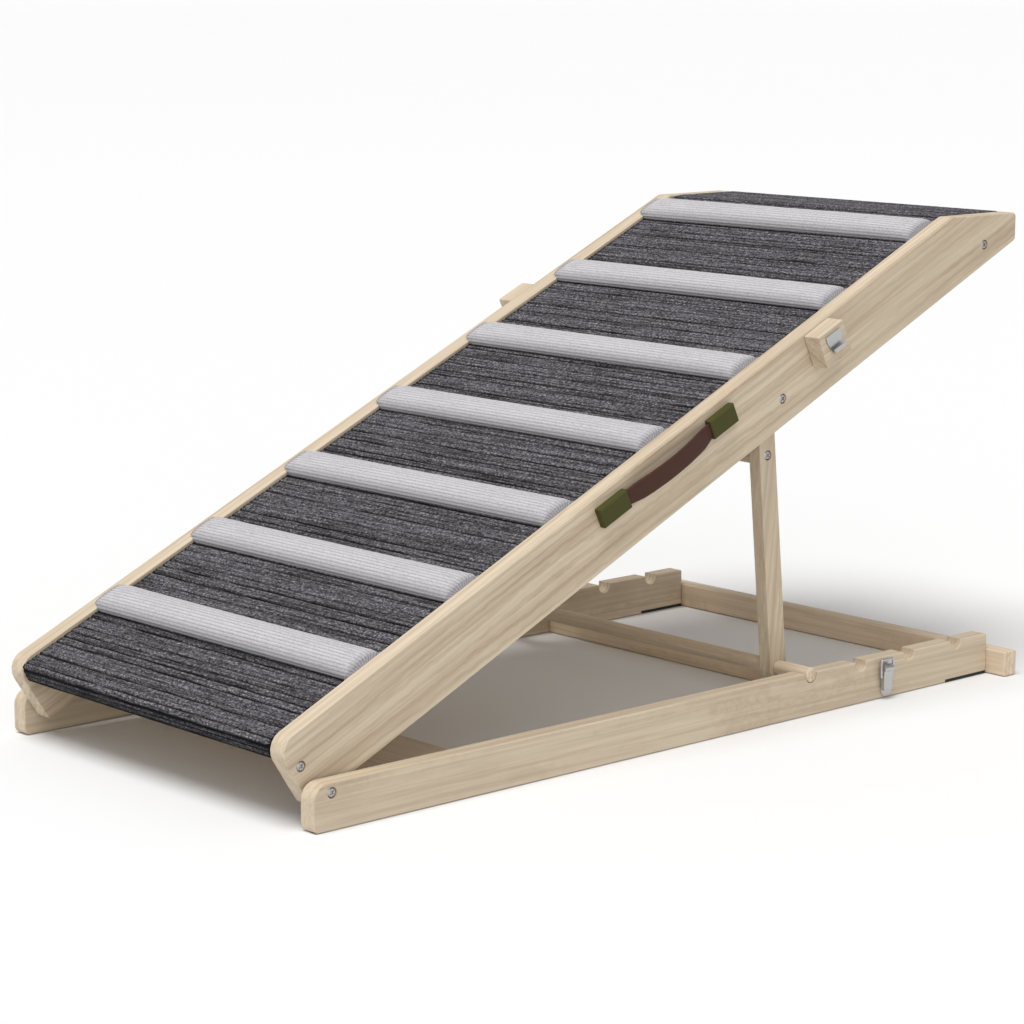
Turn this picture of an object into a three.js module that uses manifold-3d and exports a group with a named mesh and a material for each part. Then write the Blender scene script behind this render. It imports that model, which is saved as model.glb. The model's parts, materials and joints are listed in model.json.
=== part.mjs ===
// Folding dog ramp with an adjustable prop. Millimetres, +Z up, +X towards the high end.
// The right side is -Y. The ramp stands at its highest setting, its prop in the first notch.

import * as THREE from 'three';
import { mergeVertices } from 'three/addons/utils/BufferGeometryUtils.js';
import Module from 'manifold-3d';

const wasm = await Module();
wasm.setup();

// General
const GAP = 0.3;
const SLOPE = THREE.MathUtils.degToRad(24.8);
const SIDES = { right: -1, left: 1 };

// Base frame
const BASE_OUTER = 205;
const BASE_INNER = 188.6;
const BASE_LENGTH = 781.6;
const BASE_HEIGHT = 37;
const NOTCH_FIRST = 545.3;
const NOTCH_PITCH = 64;
const NOTCH_COUNT = 4;
const NOTCH_RADIUS = 7.2;
const NOTCH_BOTTOM = 28.4;
const REAR_BAR = { x0: 781.6, x1: 797.8, height: 22.8, half: 226.7 };
const MID_BAR = { x0: 599, x1: 615, height: 20.5 };
const FRONT_BOARD = { x0: 115, x1: 198, height: 16 };
const PAD = { x0: 725, thick: 2 };

// Ramp frame; s runs up the slope, v stands square to it
const PIVOT = { x: 17.5, z: 29.2, s: 18.8, v: 9.7 };
const RAMP_OUTER = 186.4;
const RAMP_INNER = 169.2;
const RAIL_DEPTH = 59.3;
const RAIL_TOP = 418.2;
const RAIL_END = 829.1;
const DECK_BOTTOM = 42.5;
const DECK_THICK = 9.7;
const CARPET_THICK = 4;
const CARPET_TOP = 56.5;
const LANDING_TOP = 418.8;
const TOP_BAR = { x0: 776.5, x1: 794.5, z0: 382 };
const FRONT_SCREW = { s: 13.7, v: 33.2, length: 15.2 };
const TOP_SCREW = { x: 785.4, z: 391.4, length: 38 };

// Grip strips: the rows open out slightly towards the top
const STRIP_COUNT = 7;
const STRIP_FIRST = 87;
const STRIP_PITCH = 108.9;
const STRIP_SPREAD = 1.45;
const STRIP_WIDTH = 42.5;
const STRIP_HEIGHT = 8.6;
const STRIP_HALF = 168;
const STRIP_END = 12;

// Prop
const PROP_BOLT = { s: 581.65, v: 21.94 };
const DOWEL = { x: 545.65, z: 35.2, radius: 6.5 };
const LEG = { inner: 152.5, outer: 165.5, width: 20 };
const LEG_BAR = { down: 52, wide: 14, tall: 16 };

// Side fittings
const BLOCK = { s0: 625, s1: 658, v0: 28, v1: 58.5, outer: 204 };
const KEEPER = { s0: 632, s1: 651, v0: 40, v1: 54.5, thick: 1.2 };
const LATCH = { x0: 635, x1: 649.8, z0: 1.2, z1: 34, thick: 1 };
const LEVER = { x0: 633, x1: 644, z0: 8.2, pivotZ: 28, pivotOut: 4.9, thick: 3.4, barrel: 3.4 };
const BAIL = { z: 20.5, top: 36.6, wire: 0.9, clear: 1.2 };
const CAPS = {
  front: { s0: 353, s1: 386, v0: 34.5, v1: 51.5 },
  rear: { s0: 491.5, s1: 522.5, v0: 36, v1: 53 },
};
const CAP_PROUD = 7;
const CAP_CHAMFER = 1.1;
const STRAP = { thick: 2.2, wide: 16.4, tuck: 13.6, bow: 7.4 };

// Fasteners
const HEAD = { radius: 3.8, height: 1.8, sunk: 0.5 };
const BOLT_SHANK = 3;
const SCREW_SHANK = 2.2;
const RECESS = { radius: 4.5, depth: 2.6 };

const MATERIALS = {
  pine: { color: 0xd9c6a0, roughness: 0.62, metalness: 0 },
  carpet: { color: 0x4a484e, roughness: 0.95, metalness: 0 },
  grip: { color: 0xc9c4ca, roughness: 0.85, metalness: 0 },
  steel: { color: 0xb9babb, roughness: 0.35, metalness: 0.9 },
  rubber: { color: 0x1f2a25, roughness: 0.8, metalness: 0 },
  cap: { color: 0x484b2b, roughness: 0.5, metalness: 0 },
  leather: { color: 0x48322d, roughness: 0.7, metalness: 0 },
};

// ---- shared helpers -------------------------------------------------------

function toManifold(geometry) {
  const bare = geometry.clone();
  bare.deleteAttribute('normal');
  bare.deleteAttribute('uv');
  const closed = mergeVertices(bare, 1e-4);
  const mesh = new wasm.Mesh({
    numProp: 3,
    vertProperties: new Float32Array(closed.attributes.position.array),
    triVerts: new Uint32Array(closed.index.array),
  });
  return new wasm.Manifold(mesh);
}

function fromManifold(solid) {
  const mesh = solid.getMesh();
  const geometry = new THREE.BufferGeometry();
  geometry.setAttribute('position', new THREE.BufferAttribute(mesh.vertProperties.slice(), 3));
  geometry.setIndex(new THREE.BufferAttribute(mesh.triVerts.slice(), 1));
  return geometry;
}

function cut(geometry, tools) {
  return fromManifold(tools.reduce((body, tool) => body.subtract(toManifold(tool)), toManifold(geometry)));
}

function join(geometries) {
  return fromManifold(geometries.map(toManifold).reduce((body, next) => body.add(next)));
}

// Corner list [x, z, radius] to an outline with rounded corners
function rounded(corners, steps = 5) {
  const outline = [];
  corners.forEach(([x, z, radius], i) => {
    if (!radius) {
      outline.push([x, z]);
      return;
    }
    const corner = new THREE.Vector2(x, z);
    const before = corners[(i + corners.length - 1) % corners.length];
    const after = corners[(i + 1) % corners.length];
    const toBefore = new THREE.Vector2(before[0] - x, before[1] - z).normalize();
    const toAfter = new THREE.Vector2(after[0] - x, after[1] - z).normalize();
    const half = Math.acos(THREE.MathUtils.clamp(toBefore.dot(toAfter), -1, 1)) / 2;
    const middle = toBefore.clone().add(toAfter).normalize();
    const centre = corner.clone().addScaledVector(middle, radius / Math.sin(half));
    const start = corner.clone().addScaledVector(toBefore, radius / Math.tan(half)).sub(centre);
    const end = corner.clone().addScaledVector(toAfter, radius / Math.tan(half)).sub(centre);
    let turn = end.angle() - start.angle();
    if (turn > Math.PI) turn -= 2 * Math.PI;
    if (turn < -Math.PI) turn += 2 * Math.PI;
    for (let k = 0; k <= steps; k += 1) {
      const angle = start.angle() + (turn * k) / steps;
      outline.push([centre.x + radius * Math.cos(angle), centre.y + radius * Math.sin(angle)]);
    }
  });
  return outline;
}

function extrude(outline, length, ease, windows = []) {
  const toPath = (points) => points.map(([a, b]) => new THREE.Vector2(a, b));
  const shape = new THREE.Shape(toPath(outline));
  windows.forEach((window) => shape.holes.push(new THREE.Path(toPath(window))));
  return new THREE.ExtrudeGeometry(shape, {
    depth: length - 2 * ease,
    bevelEnabled: ease > 0,
    bevelThickness: ease,
    bevelSize: ease,
    bevelOffset: -ease,
    bevelSegments: 3,
  }).translate(0, 0, ease);
}

// Outline in X and Z, thickness from y0 to y1, edges eased
function board(outline, y0, y1, ease = 1, windows = []) {
  return extrude(outline, y1 - y0, ease, windows).rotateX(Math.PI / 2).translate(0, y1, 0);
}

// Outline in Y and Z, length from x0 to x1
function lengthwise(outline, x0, x1, ease = 0) {
  const turn = new THREE.Matrix4().makeBasis(
    new THREE.Vector3(0, 1, 0),
    new THREE.Vector3(0, 0, 1),
    new THREE.Vector3(1, 0, 0),
  );
  return extrude(outline, x1 - x0, ease).applyMatrix4(turn).translate(x0, 0, 0);
}

function rectangle(x0, x1, z0, z1, radius = 0) {
  return rounded([[x0, z0, radius], [x1, z0, radius], [x1, z1, radius], [x0, z1, radius]], 3);
}

// Board on one side: near and far are distances out from the middle plane
function sideBoard(side, outline, near, far, ease = 1) {
  const sign = SIDES[side];
  return board(outline, Math.min(sign * near, sign * far), Math.max(sign * near, sign * far), ease);
}

function block(x0, x1, y0, y1, z0, z1) {
  const size = [x1 - x0, y1 - y0, z1 - z0];
  return new THREE.BoxGeometry(...size).translate((x0 + x1) / 2, (y0 + y1) / 2, (z0 + z1) / 2);
}

// Round bar along Y
function rod(x, z, radius, y0, y1, segments = 24) {
  const low = Math.min(y0, y1);
  const high = Math.max(y0, y1);
  return new THREE.CylinderGeometry(radius, radius, high - low, segments)
    .translate(x, (low + high) / 2, z);
}

function signedVolume(positions, index) {
  let volume = 0;
  const at = (i) => new THREE.Vector3(positions[3 * i], positions[3 * i + 1], positions[3 * i + 2]);
  for (let i = 0; i < index.length; i += 3) {
    volume += at(index[i]).dot(at(index[i + 1]).cross(at(index[i + 2]))) / 6;
  }
  return volume;
}

// Rings of equal count joined into one closed skin with flat ends
function loft(rings) {
  const count = rings[0].length;
  const positions = rings.flat().flatMap((p) => [p.x, p.y, p.z]);
  const index = [];
  for (let i = 0; i < rings.length - 1; i += 1) {
    for (let j = 0; j < count; j += 1) {
      const a = i * count + j;
      const b = i * count + ((j + 1) % count);
      index.push(a, b, b + count, a, b + count, a + count);
    }
  }
  const last = (rings.length - 1) * count;
  for (let j = 1; j < count - 1; j += 1) {
    index.push(0, j + 1, j);
    index.push(last, last + j, last + j + 1);
  }
  if (signedVolume(positions, index) < 0) {
    index.reverse();
  }
  const geometry = new THREE.BufferGeometry();
  geometry.setAttribute('position', new THREE.Float32BufferAttribute(positions, 3));
  geometry.setIndex(index);
  return geometry;
}

// ---- frames of reference --------------------------------------------------

const RAMP_MATRIX = new THREE.Matrix4()
  .makeTranslation(PIVOT.x, 0, PIVOT.z)
  .multiply(new THREE.Matrix4().makeRotationY(-SLOPE))
  .multiply(new THREE.Matrix4().makeTranslation(-PIVOT.s, 0, -PIVOT.v));

function onRamp(s, v) {
  const point = new THREE.Vector3(s, 0, v).applyMatrix4(RAMP_MATRIX);
  return [point.x, point.z];
}

function inRamp(geometry) {
  return geometry.applyMatrix4(RAMP_MATRIX);
}

// Distance up the slope at which the plane at height v reaches world height z
function slopeAt(v, z) {
  return (z - onRamp(0, v)[1]) / Math.sin(SLOPE);
}

const [BOLT_X, BOLT_Z] = onRamp(PROP_BOLT.s, PROP_BOLT.v);
const LEG_LENGTH = Math.hypot(DOWEL.x - BOLT_X, BOLT_Z - DOWEL.z);
const LEG_LEAN = Math.atan2(DOWEL.x - BOLT_X, BOLT_Z - DOWEL.z);

// Prop frame: origin on the bolt axis, the leg running down -Z
function inProp(geometry) {
  return geometry.rotateY(-LEG_LEAN).translate(BOLT_X, 0, BOLT_Z);
}

// ---- fasteners ------------------------------------------------------------

// Cross-head fastener along Y; face is the outer plane its head sits under
function fastener(side, x, z, face, length, shank) {
  const sign = SIDES[side];
  const top = face - HEAD.sunk;
  const crown = HEAD.height;
  const profile = [
    [0, 0], [shank, 0], [shank, length - crown], [HEAD.radius, length - crown],
    [HEAD.radius, length - 0.7], [HEAD.radius - 0.8, length], [0, length],
  ].map(([r, h]) => new THREE.Vector2(r, h));
  const body = new THREE.LatheGeometry(profile, 20).translate(0, top - length, 0);
  const slot = block(-0.65, 0.65, top - 1.1, top + 1, -2.2, 2.2);
  const crossSlot = slot.clone().rotateY(Math.PI / 2);
  const turned = cut(body, [slot, crossSlot]);
  return turned.rotateY(Math.PI / 4).rotateZ(sign > 0 ? 0 : Math.PI).translate(x, 0, z);
}

function recess(side, x, z, face) {
  const sign = SIDES[side];
  return rod(x, z, RECESS.radius, sign * (face - RECESS.depth), sign * (face + 2), 28);
}

function bore(side, x, z, radius, near, far) {
  const sign = SIDES[side];
  return rod(x, z, radius + GAP, sign * near, sign * far, 24);
}

function washer(side, x, z, inner, outer, near, far) {
  const sign = SIDES[side];
  const disc = rod(x, z, outer, sign * near, sign * far, 28);
  return cut(disc, [rod(x, z, inner, sign * (near - 1), sign * (far + 1), 24)]);
}

// ---- base frame -----------------------------------------------------------

function notchOutline(x) {
  const centre = NOTCH_BOTTOM + NOTCH_RADIUS;
  const arc = [[x + NOTCH_RADIUS, BASE_HEIGHT]];
  const steps = 12;
  for (let k = 0; k <= steps; k += 1) {
    const angle = (Math.PI * k) / steps;
    arc.push([x + NOTCH_RADIUS * Math.cos(angle), centre - NOTCH_RADIUS * Math.sin(angle)]);
  }
  arc.push([x - NOTCH_RADIUS, BASE_HEIGHT]);
  return arc;
}

function baseRail(side) {
  const end = BASE_LENGTH - GAP;
  const outline = rounded([
    [0, 0, 5], [PAD.x0 - GAP, 0, 0], [PAD.x0 - GAP, PAD.thick + GAP, 0],
    [end, PAD.thick + GAP, 0], [end, BASE_HEIGHT, 2], [0, BASE_HEIGHT, 13],
  ]);
  const start = outline.findIndex(([x, z]) => x < 100 && z === Math.max(...outline.map((p) => p[1])));
  const notches = [];
  for (let k = NOTCH_COUNT - 1; k >= 0; k -= 1) {
    notches.push(...notchOutline(NOTCH_FIRST + k * NOTCH_PITCH));
  }
  outline.splice(start, 0, ...notches);
  const body = sideBoard(side, outline, BASE_INNER, BASE_OUTER, 0.9);
  return cut(body, [
    recess(side, PIVOT.x, PIVOT.z, BASE_OUTER),
    bore(side, PIVOT.x, PIVOT.z, BOLT_SHANK, BASE_INNER - 1, BASE_OUTER),
  ]);
}

function rearCrossBar() {
  const outline = rectangle(REAR_BAR.x0, REAR_BAR.x1, 0, REAR_BAR.height, 1.5);
  return board(outline, -REAR_BAR.half, REAR_BAR.half, 1.2);
}

function crossBoard({ x0, x1, height }) {
  const half = BASE_INNER - GAP;
  return board(rectangle(x0, x1, 0, height, 1.2), -half, half, 0);
}

function footPad(side) {
  const outline = rectangle(PAD.x0, BASE_LENGTH - GAP, 0, PAD.thick, 0);
  return sideBoard(side, outline, BASE_INNER + 0.2, BASE_OUTER - 0.2, 0.3);
}

function pivotBolt(side) {
  const length = BASE_OUTER - HEAD.sunk - (RAMP_INNER + 3);
  return fastener(side, PIVOT.x, PIVOT.z, BASE_OUTER, length, BOLT_SHANK);
}

function pivotWasher(side) {
  const inner = BOLT_SHANK + GAP;
  return washer(side, PIVOT.x, PIVOT.z, inner, 7, RAMP_OUTER + GAP, BASE_INNER - GAP);
}

// ---- latch ----------------------------------------------------------------

const LATCH_FACE = BASE_OUTER + 0.1;
const LEVER_Y = BASE_OUTER + LEVER.pivotOut;
const LUG = { x0: 636.9, x1: 640.1 };

function latchPlate(side) {
  const outline = rounded([
    [LATCH.x0, LATCH.z0, 7], [LATCH.x1, LATCH.z0, 7], [LATCH.x1, LATCH.z1, 1.5], [LATCH.x0, LATCH.z1, 1.5],
  ]);
  const face = LATCH_FACE + LATCH.thick;
  const plate = sideBoard(side, outline, LATCH_FACE, face, 0);
  const sign = SIDES[side];
  const pin = [sign * LEVER_Y, LEVER.pivotZ];
  const lugOutline = rounded([
    [sign * (face - 0.5), pin[1] - 2.2, 0], [sign * (LEVER_Y + 1.9), pin[1] - 2.2, 1.2],
    [sign * (LEVER_Y + 1.9), pin[1] + 2.2, 1.2], [sign * (face - 0.5), pin[1] + 2.2, 0],
  ], 3);
  const lug = lengthwise(lugOutline, LUG.x0, LUG.x1);
  const eye = new THREE.CylinderGeometry(1.2, 1.2, 6, 20)
    .rotateZ(Math.PI / 2)
    .translate((LUG.x0 + LUG.x1) / 2, pin[0], pin[1]);
  return cut(join([plate, lug]), [eye]);
}

// Flat lever with a round barrel at the top, slotted behind for the plate's lug
function latchLever(side) {
  const sign = SIDES[side];
  const middle = (LEVER.x0 + LEVER.x1) / 2;
  const axis = sign * LEVER_Y;
  const half = LEVER.thick / 2;
  const outline = rounded([
    [axis - half, LEVER.z0, 0.6], [axis + half, LEVER.z0, 0.6],
    [axis + half, LEVER.pivotZ, 0], [axis - half, LEVER.pivotZ, 0],
  ], 3);
  const cross = (radius, length, z) => new THREE.CylinderGeometry(radius, radius, length, 24)
    .rotateZ(Math.PI / 2)
    .translate(middle, axis, z);
  const barrel = cross(LEVER.barrel, LEVER.x1 - LEVER.x0, LEVER.pivotZ);
  const body = join([lengthwise(outline, LEVER.x0, LEVER.x1), barrel]);
  const slotFar = sign * (LEVER_Y + LEVER.barrel - 0.9);
  const slotNear = sign * (LEVER_Y - LEVER.barrel - 1);
  const slot = block(
    LUG.x0 - GAP, LUG.x1 + GAP,
    Math.min(slotNear, slotFar), Math.max(slotNear, slotFar),
    LEVER.pivotZ - 2.6, LEVER.pivotZ + 5,
  );
  const eye = cross(BAIL.wire + GAP, 20, BAIL.z);
  const pin = new THREE.CylinderGeometry(0.85, 0.85, LUG.x1 - LUG.x0 + 2, 16)
    .rotateZ(Math.PI / 2)
    .translate((LUG.x0 + LUG.x1) / 2, axis, LEVER.pivotZ);
  return join([cut(body, [slot, eye]), pin]);
}

// Closed wire loop through the lever's eye
function latchBail(side) {
  const sign = SIDES[side];
  const y = sign * LEVER_Y;
  const reach = BAIL.wire + BAIL.clear;
  const left = LEVER.x0 - reach;
  const right = LEVER.x1 + reach;
  const low = BAIL.z;
  const high = BAIL.top - BAIL.wire;
  const thick = 2 * BAIL.wire;
  const frame = rounded([
    [left - BAIL.wire, low - BAIL.wire, BAIL.wire], [right + BAIL.wire, low - BAIL.wire, BAIL.wire],
    [right + BAIL.wire, high + BAIL.wire, 2.4], [left - BAIL.wire, high + BAIL.wire, 2.4],
  ], 4);
  const window = rectangle(left + BAIL.wire, right - BAIL.wire, low + BAIL.wire, high - BAIL.wire, 0.6);
  return board(frame, y - thick / 2, y + thick / 2, 0.6, [window]);
}

// ---- ramp -----------------------------------------------------------------

function rampRail(side) {
  const tip = onRamp(8, 0);
  const nose = onRamp(0, RAIL_DEPTH);
  const bend = onRamp(slopeAt(RAIL_DEPTH, RAIL_TOP), RAIL_DEPTH);
  const reach = (RAIL_END - onRamp(0, 0)[0]) / Math.cos(SLOPE);
  const heel = onRamp(reach, 0);
  const outline = rounded([
    [...tip, 3], [...heel, 4], [RAIL_END, RAIL_TOP, 4], [...bend, 10], [...nose, 15],
  ]);
  const body = sideBoard(side, outline, RAMP_INNER, RAMP_OUTER, 1.2);
  const front = onRamp(FRONT_SCREW.s, FRONT_SCREW.v);
  const prop = [BOLT_X, BOLT_Z];
  const top = [TOP_SCREW.x, TOP_SCREW.z];
  return cut(body, [
    bore(side, PIVOT.x, PIVOT.z, BOLT_SHANK, RAMP_INNER + 2.6, RAMP_OUTER + 1),
    ...[front, prop, top].map(([x, z]) => recess(side, x, z, RAMP_OUTER)),
    bore(side, ...front, SCREW_SHANK, RAMP_OUTER - HEAD.sunk - FRONT_SCREW.length - GAP, RAMP_OUTER),
    bore(side, ...top, SCREW_SHANK, RAMP_INNER - 1, RAMP_OUTER),
    bore(side, ...prop, BOLT_SHANK, RAMP_INNER - 1, RAMP_OUTER),
  ]);
}

const DECK_HALF = RAMP_INNER - GAP;
const DECK_TOP = DECK_BOTTOM + DECK_THICK;
const PANEL_TOP = LANDING_TOP - CARPET_THICK - GAP;
const PANEL_BOTTOM = PANEL_TOP - DECK_THICK;

function deckPanel() {
  const high = slopeAt(DECK_TOP, PANEL_TOP) - GAP;
  const low = slopeAt(DECK_BOTTOM, PANEL_BOTTOM) - GAP;
  const outline = [
    onRamp(8.4, DECK_BOTTOM), onRamp(low, DECK_BOTTOM), onRamp(high, DECK_TOP), onRamp(8.4, DECK_TOP),
  ];
  return board(outline, -DECK_HALF, DECK_HALF, 0);
}

function landingPanel() {
  const high = onRamp(slopeAt(DECK_TOP, PANEL_TOP) + GAP, DECK_TOP)[0];
  const low = onRamp(slopeAt(DECK_BOTTOM, PANEL_BOTTOM) + GAP, DECK_BOTTOM)[0];
  const end = RAIL_END - CARPET_THICK - 0.8;
  const outline = [[low, PANEL_BOTTOM], [end, PANEL_BOTTOM], [end, PANEL_TOP], [high, PANEL_TOP]];
  return board(outline, -DECK_HALF, DECK_HALF, 0);
}

function deckRearBar() {
  const { x0, x1, z0 } = TOP_BAR;
  const bar = board(rectangle(x0, x1, z0, PANEL_BOTTOM - GAP, 1), -DECK_HALF, DECK_HALF, 0);
  const holes = Object.keys(SIDES).map((side) => (
    bore(side, TOP_SCREW.x, TOP_SCREW.z, SCREW_SHANK, DECK_HALF - 24, DECK_HALF + 1)
  ));
  return cut(bar, holes);
}

// One length of carpet: down over the front edge, up the slope, along the landing, down the back
function carpet() {
  const under = CARPET_TOP - CARPET_THICK;
  const bottom = LANDING_TOP - CARPET_THICK;
  const outline = rounded([
    [...onRamp(4.2, DECK_BOTTOM - 0.6), 1], [...onRamp(8.1, DECK_BOTTOM - 0.6), 1],
    [...onRamp(8.1, under), 0], [...onRamp(slopeAt(under, bottom), under), 0],
    [RAIL_END - CARPET_THICK - 0.5, bottom, 0], [RAIL_END - CARPET_THICK - 0.5, PANEL_BOTTOM, 1],
    [RAIL_END - 0.5, PANEL_BOTTOM, 1], [RAIL_END - 0.5, LANDING_TOP, 3.5],
    [...onRamp(slopeAt(CARPET_TOP, LANDING_TOP), CARPET_TOP), 6], [...onRamp(4.2, CARPET_TOP), 4],
  ]);
  return board(outline, -DECK_HALF, DECK_HALF, 0);
}

// Domed strip, its ends dying away just inside the rails
function gripStrip(order) {
  const start = STRIP_FIRST + STRIP_PITCH * order + STRIP_SPREAD * order * order;
  const seat = CARPET_TOP + GAP;
  const stations = [];
  for (let k = 0; k <= 5; k += 1) {
    const inset = STRIP_END * (k / 5) ** 1.6;
    const rise = 0.3 + 0.7 * Math.sqrt(1 - (1 - inset / STRIP_END) ** 2);
    stations.push({ y: -STRIP_HALF + inset, rise });
  }
  const mirrored = stations.map(({ y, rise }) => ({ y: -y, rise })).reverse();
  const rings = [...stations, ...mirrored].map(({ y, rise }) => {
    const ring = [];
    const steps = 14;
    for (let k = 0; k <= steps; k += 1) {
      const t = k / steps;
      const dome = (1 - Math.abs(2 * t - 1) ** 3) ** 0.55;
      ring.push(new THREE.Vector3(start + STRIP_WIDTH * t, y, seat + STRIP_HEIGHT * rise * dome));
    }
    ring[0].z = seat;
    ring[steps].z = seat;
    return ring;
  });
  return inRamp(loft(rings));
}

function frontScrew(side) {
  const [x, z] = onRamp(FRONT_SCREW.s, FRONT_SCREW.v);
  return fastener(side, x, z, RAMP_OUTER, FRONT_SCREW.length, SCREW_SHANK);
}

function topScrew(side) {
  return fastener(side, TOP_SCREW.x, TOP_SCREW.z, RAMP_OUTER, TOP_SCREW.length, SCREW_SHANK);
}

function keeperBlock(side) {
  const { s0, s1, v0, v1, outer } = BLOCK;
  return inRamp(sideBoard(side, rectangle(s0, s1, v0, v1, 1), RAMP_OUTER + GAP, outer, 0.8));
}

// Plate with its lower edge turned out and up into a hook
function keeper(side) {
  const sign = SIDES[side];
  const { s0, s1, v0, v1, thick } = KEEPER;
  const near = BLOCK.outer + GAP;
  const hook = near + 5;
  const section = [
    [near, v1], [near, v0], [near + 1.2, v0 - 1.8], [hook - 1.2, v0 - 1.8], [hook, v0 - 0.4],
    [hook, v0 + 2.4], [hook - thick, v0 + 2.4], [hook - thick, v0 - 0.1], [hook - 1.7, v0 - 0.6],
    [near + 1.8, v0 - 0.6], [near + thick, v0 + 0.4], [near + thick, v1],
  ].map(([y, z]) => [sign * y, z]);
  const cutters = [[s0, 1], [s1, -1]].map(([edge, inward]) => board(
    [[edge - inward, v1 - 2], [edge - inward, v0 - 4], [edge + 3.4 * inward, v0 - 4]],
    Math.min(sign * near, sign * hook) - 1,
    Math.max(sign * near, sign * hook) + 1,
    0,
  ));
  return inRamp(cut(lengthwise(section, s0, s1), cutters));
}

// ---- carrying handle ------------------------------------------------------

function handleCap(place) {
  const { s0, s1, v0, v1 } = CAPS[place];
  const near = -(RAMP_OUTER + GAP);
  const far = -(RAMP_OUTER + CAP_PROUD);
  const chamfer = CAP_CHAMFER;
  const corners = [[s0, v0], [s1, v0], [s1, v1], [s0, v1]];
  const inset = [[1, 1], [-1, 1], [-1, -1], [1, -1]];
  const ring = (y, by) => corners.map(([s, v], i) => (
    new THREE.Vector3(s + inset[i][0] * by, y, v + inset[i][1] * by)
  ));
  const body = loft([ring(near, 0), ring(far + chamfer, 0), ring(far, chamfer)]);
  const middle = (v0 + v1) / 2;
  const half = STRAP.tuck / 2 + GAP;
  const mouth = place === 'front' ? [s1 - 13, s1 + 2] : [s0 - 2, s0 + 13];
  const slot = block(...mouth, strapY(0) - STRAP.thick / 2 - GAP, strapY(0) + STRAP.thick / 2 + GAP,
    middle - half, middle + half);
  return inRamp(cut(body, [slot]));
}

function strapY(rise) {
  return -(RAMP_OUTER + 3.7 + STRAP.bow * rise);
}

function handleStrap() {
  const start = CAPS.front.s1 - 11;
  const end = CAPS.rear.s0 + 11;
  const from = (CAPS.front.v0 + CAPS.front.v1) / 2;
  const to = (CAPS.rear.v0 + CAPS.rear.v1) / 2;
  const rings = [];
  const steps = 44;
  for (let k = 0; k <= steps; k += 1) {
    const s = start + ((end - start) * k) / steps;
    const free = THREE.MathUtils.clamp((s - CAPS.front.s1 - 0.5) / (CAPS.rear.s0 - CAPS.front.s1 - 1), 0, 1);
    const rise = 4 * free * (1 - free);
    const outside = Math.min(s - CAPS.front.s1, CAPS.rear.s0 - s);
    const widen = THREE.MathUtils.smoothstep(outside, 0.6, 16);
    const half = (STRAP.tuck + (STRAP.wide - STRAP.tuck) * widen) / 2;
    const y = strapY(rise);
    const v = from + ((to - from) * k) / steps;
    const section = rounded([
      [y - STRAP.thick / 2, v - half, 0.8], [y + STRAP.thick / 2, v - half, 0.8],
      [y + STRAP.thick / 2, v + half, 0.8], [y - STRAP.thick / 2, v + half, 0.8],
    ], 2);
    rings.push(section.map(([a, b]) => new THREE.Vector3(s, a, b)));
  }
  return inRamp(loft(rings));
}

// ---- prop -----------------------------------------------------------------

function propLeg(side) {
  const r = LEG.width / 2;
  const outline = rounded([
    [-r, -LEG_LENGTH - r, r - 0.6], [r, -LEG_LENGTH - r, r - 0.6], [r, r, r - 0.6], [-r, r, r - 0.6],
  ], 8);
  const body = sideBoard(side, outline, LEG.inner, LEG.outer, 0.8);
  const sign = SIDES[side];
  return inProp(cut(body, [
    rod(0, 0, BOLT_SHANK + GAP, sign * (LEG.inner - 1), sign * (LEG.outer + 1)),
    rod(0, -LEG_LENGTH, DOWEL.radius + GAP, sign * (LEG.inner - 1), sign * (LEG.outer + 1), 32),
    rod(0, -LEG_BAR.down, SCREW_SHANK + GAP, sign * (LEG.inner - 1), sign * LEG.outer),
    rod(0, -LEG_BAR.down, RECESS.radius, sign * (LEG.outer - RECESS.depth), sign * (LEG.outer + 1), 28),
  ]));
}

function propCrossBar() {
  const half = LEG.inner - GAP;
  const { down, wide, tall } = LEG_BAR;
  const bar = board(rectangle(-tall / 2, tall / 2, -down - wide / 2, -down + wide / 2, 1.2), -half, half, 0);
  const holes = Object.keys(SIDES).map((side) => (
    bore(side, 0, -down, SCREW_SHANK, half - 24, half + 1)
  ));
  return inProp(cut(bar, holes));
}

function supportDowel() {
  const y = BASE_OUTER - 0.2;
  const profile = [[0, -y], [DOWEL.radius - 1, -y], [DOWEL.radius, -y + 1], [DOWEL.radius, y - 1],
    [DOWEL.radius - 1, y], [0, y]].map(([r, h]) => new THREE.Vector2(r, h));
  return new THREE.LatheGeometry(profile, 32).translate(DOWEL.x, 0, DOWEL.z);
}

function propScrew(side) {
  const screw = fastener(side, 0, -LEG_BAR.down, LEG.outer, 34, SCREW_SHANK);
  return inProp(screw);
}

function propBolt(side) {
  const length = RAMP_OUTER - HEAD.sunk - (LEG.inner + 0.5);
  return fastener(side, BOLT_X, BOLT_Z, RAMP_OUTER, length, BOLT_SHANK);
}

function propWasher(side) {
  const inner = BOLT_SHANK + GAP;
  return washer(side, BOLT_X, BOLT_Z, inner, 8, LEG.outer + GAP, RAMP_INNER - GAP);
}

// ---- assembly -------------------------------------------------------------

const ramp = new THREE.Group();

function add(name, slot, geometry) {
  const mesh = new THREE.Mesh(geometry, new THREE.MeshStandardMaterial(MATERIALS[slot]));
  mesh.name = name;
  mesh.material.name = slot;
  ramp.add(mesh);
}

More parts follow.
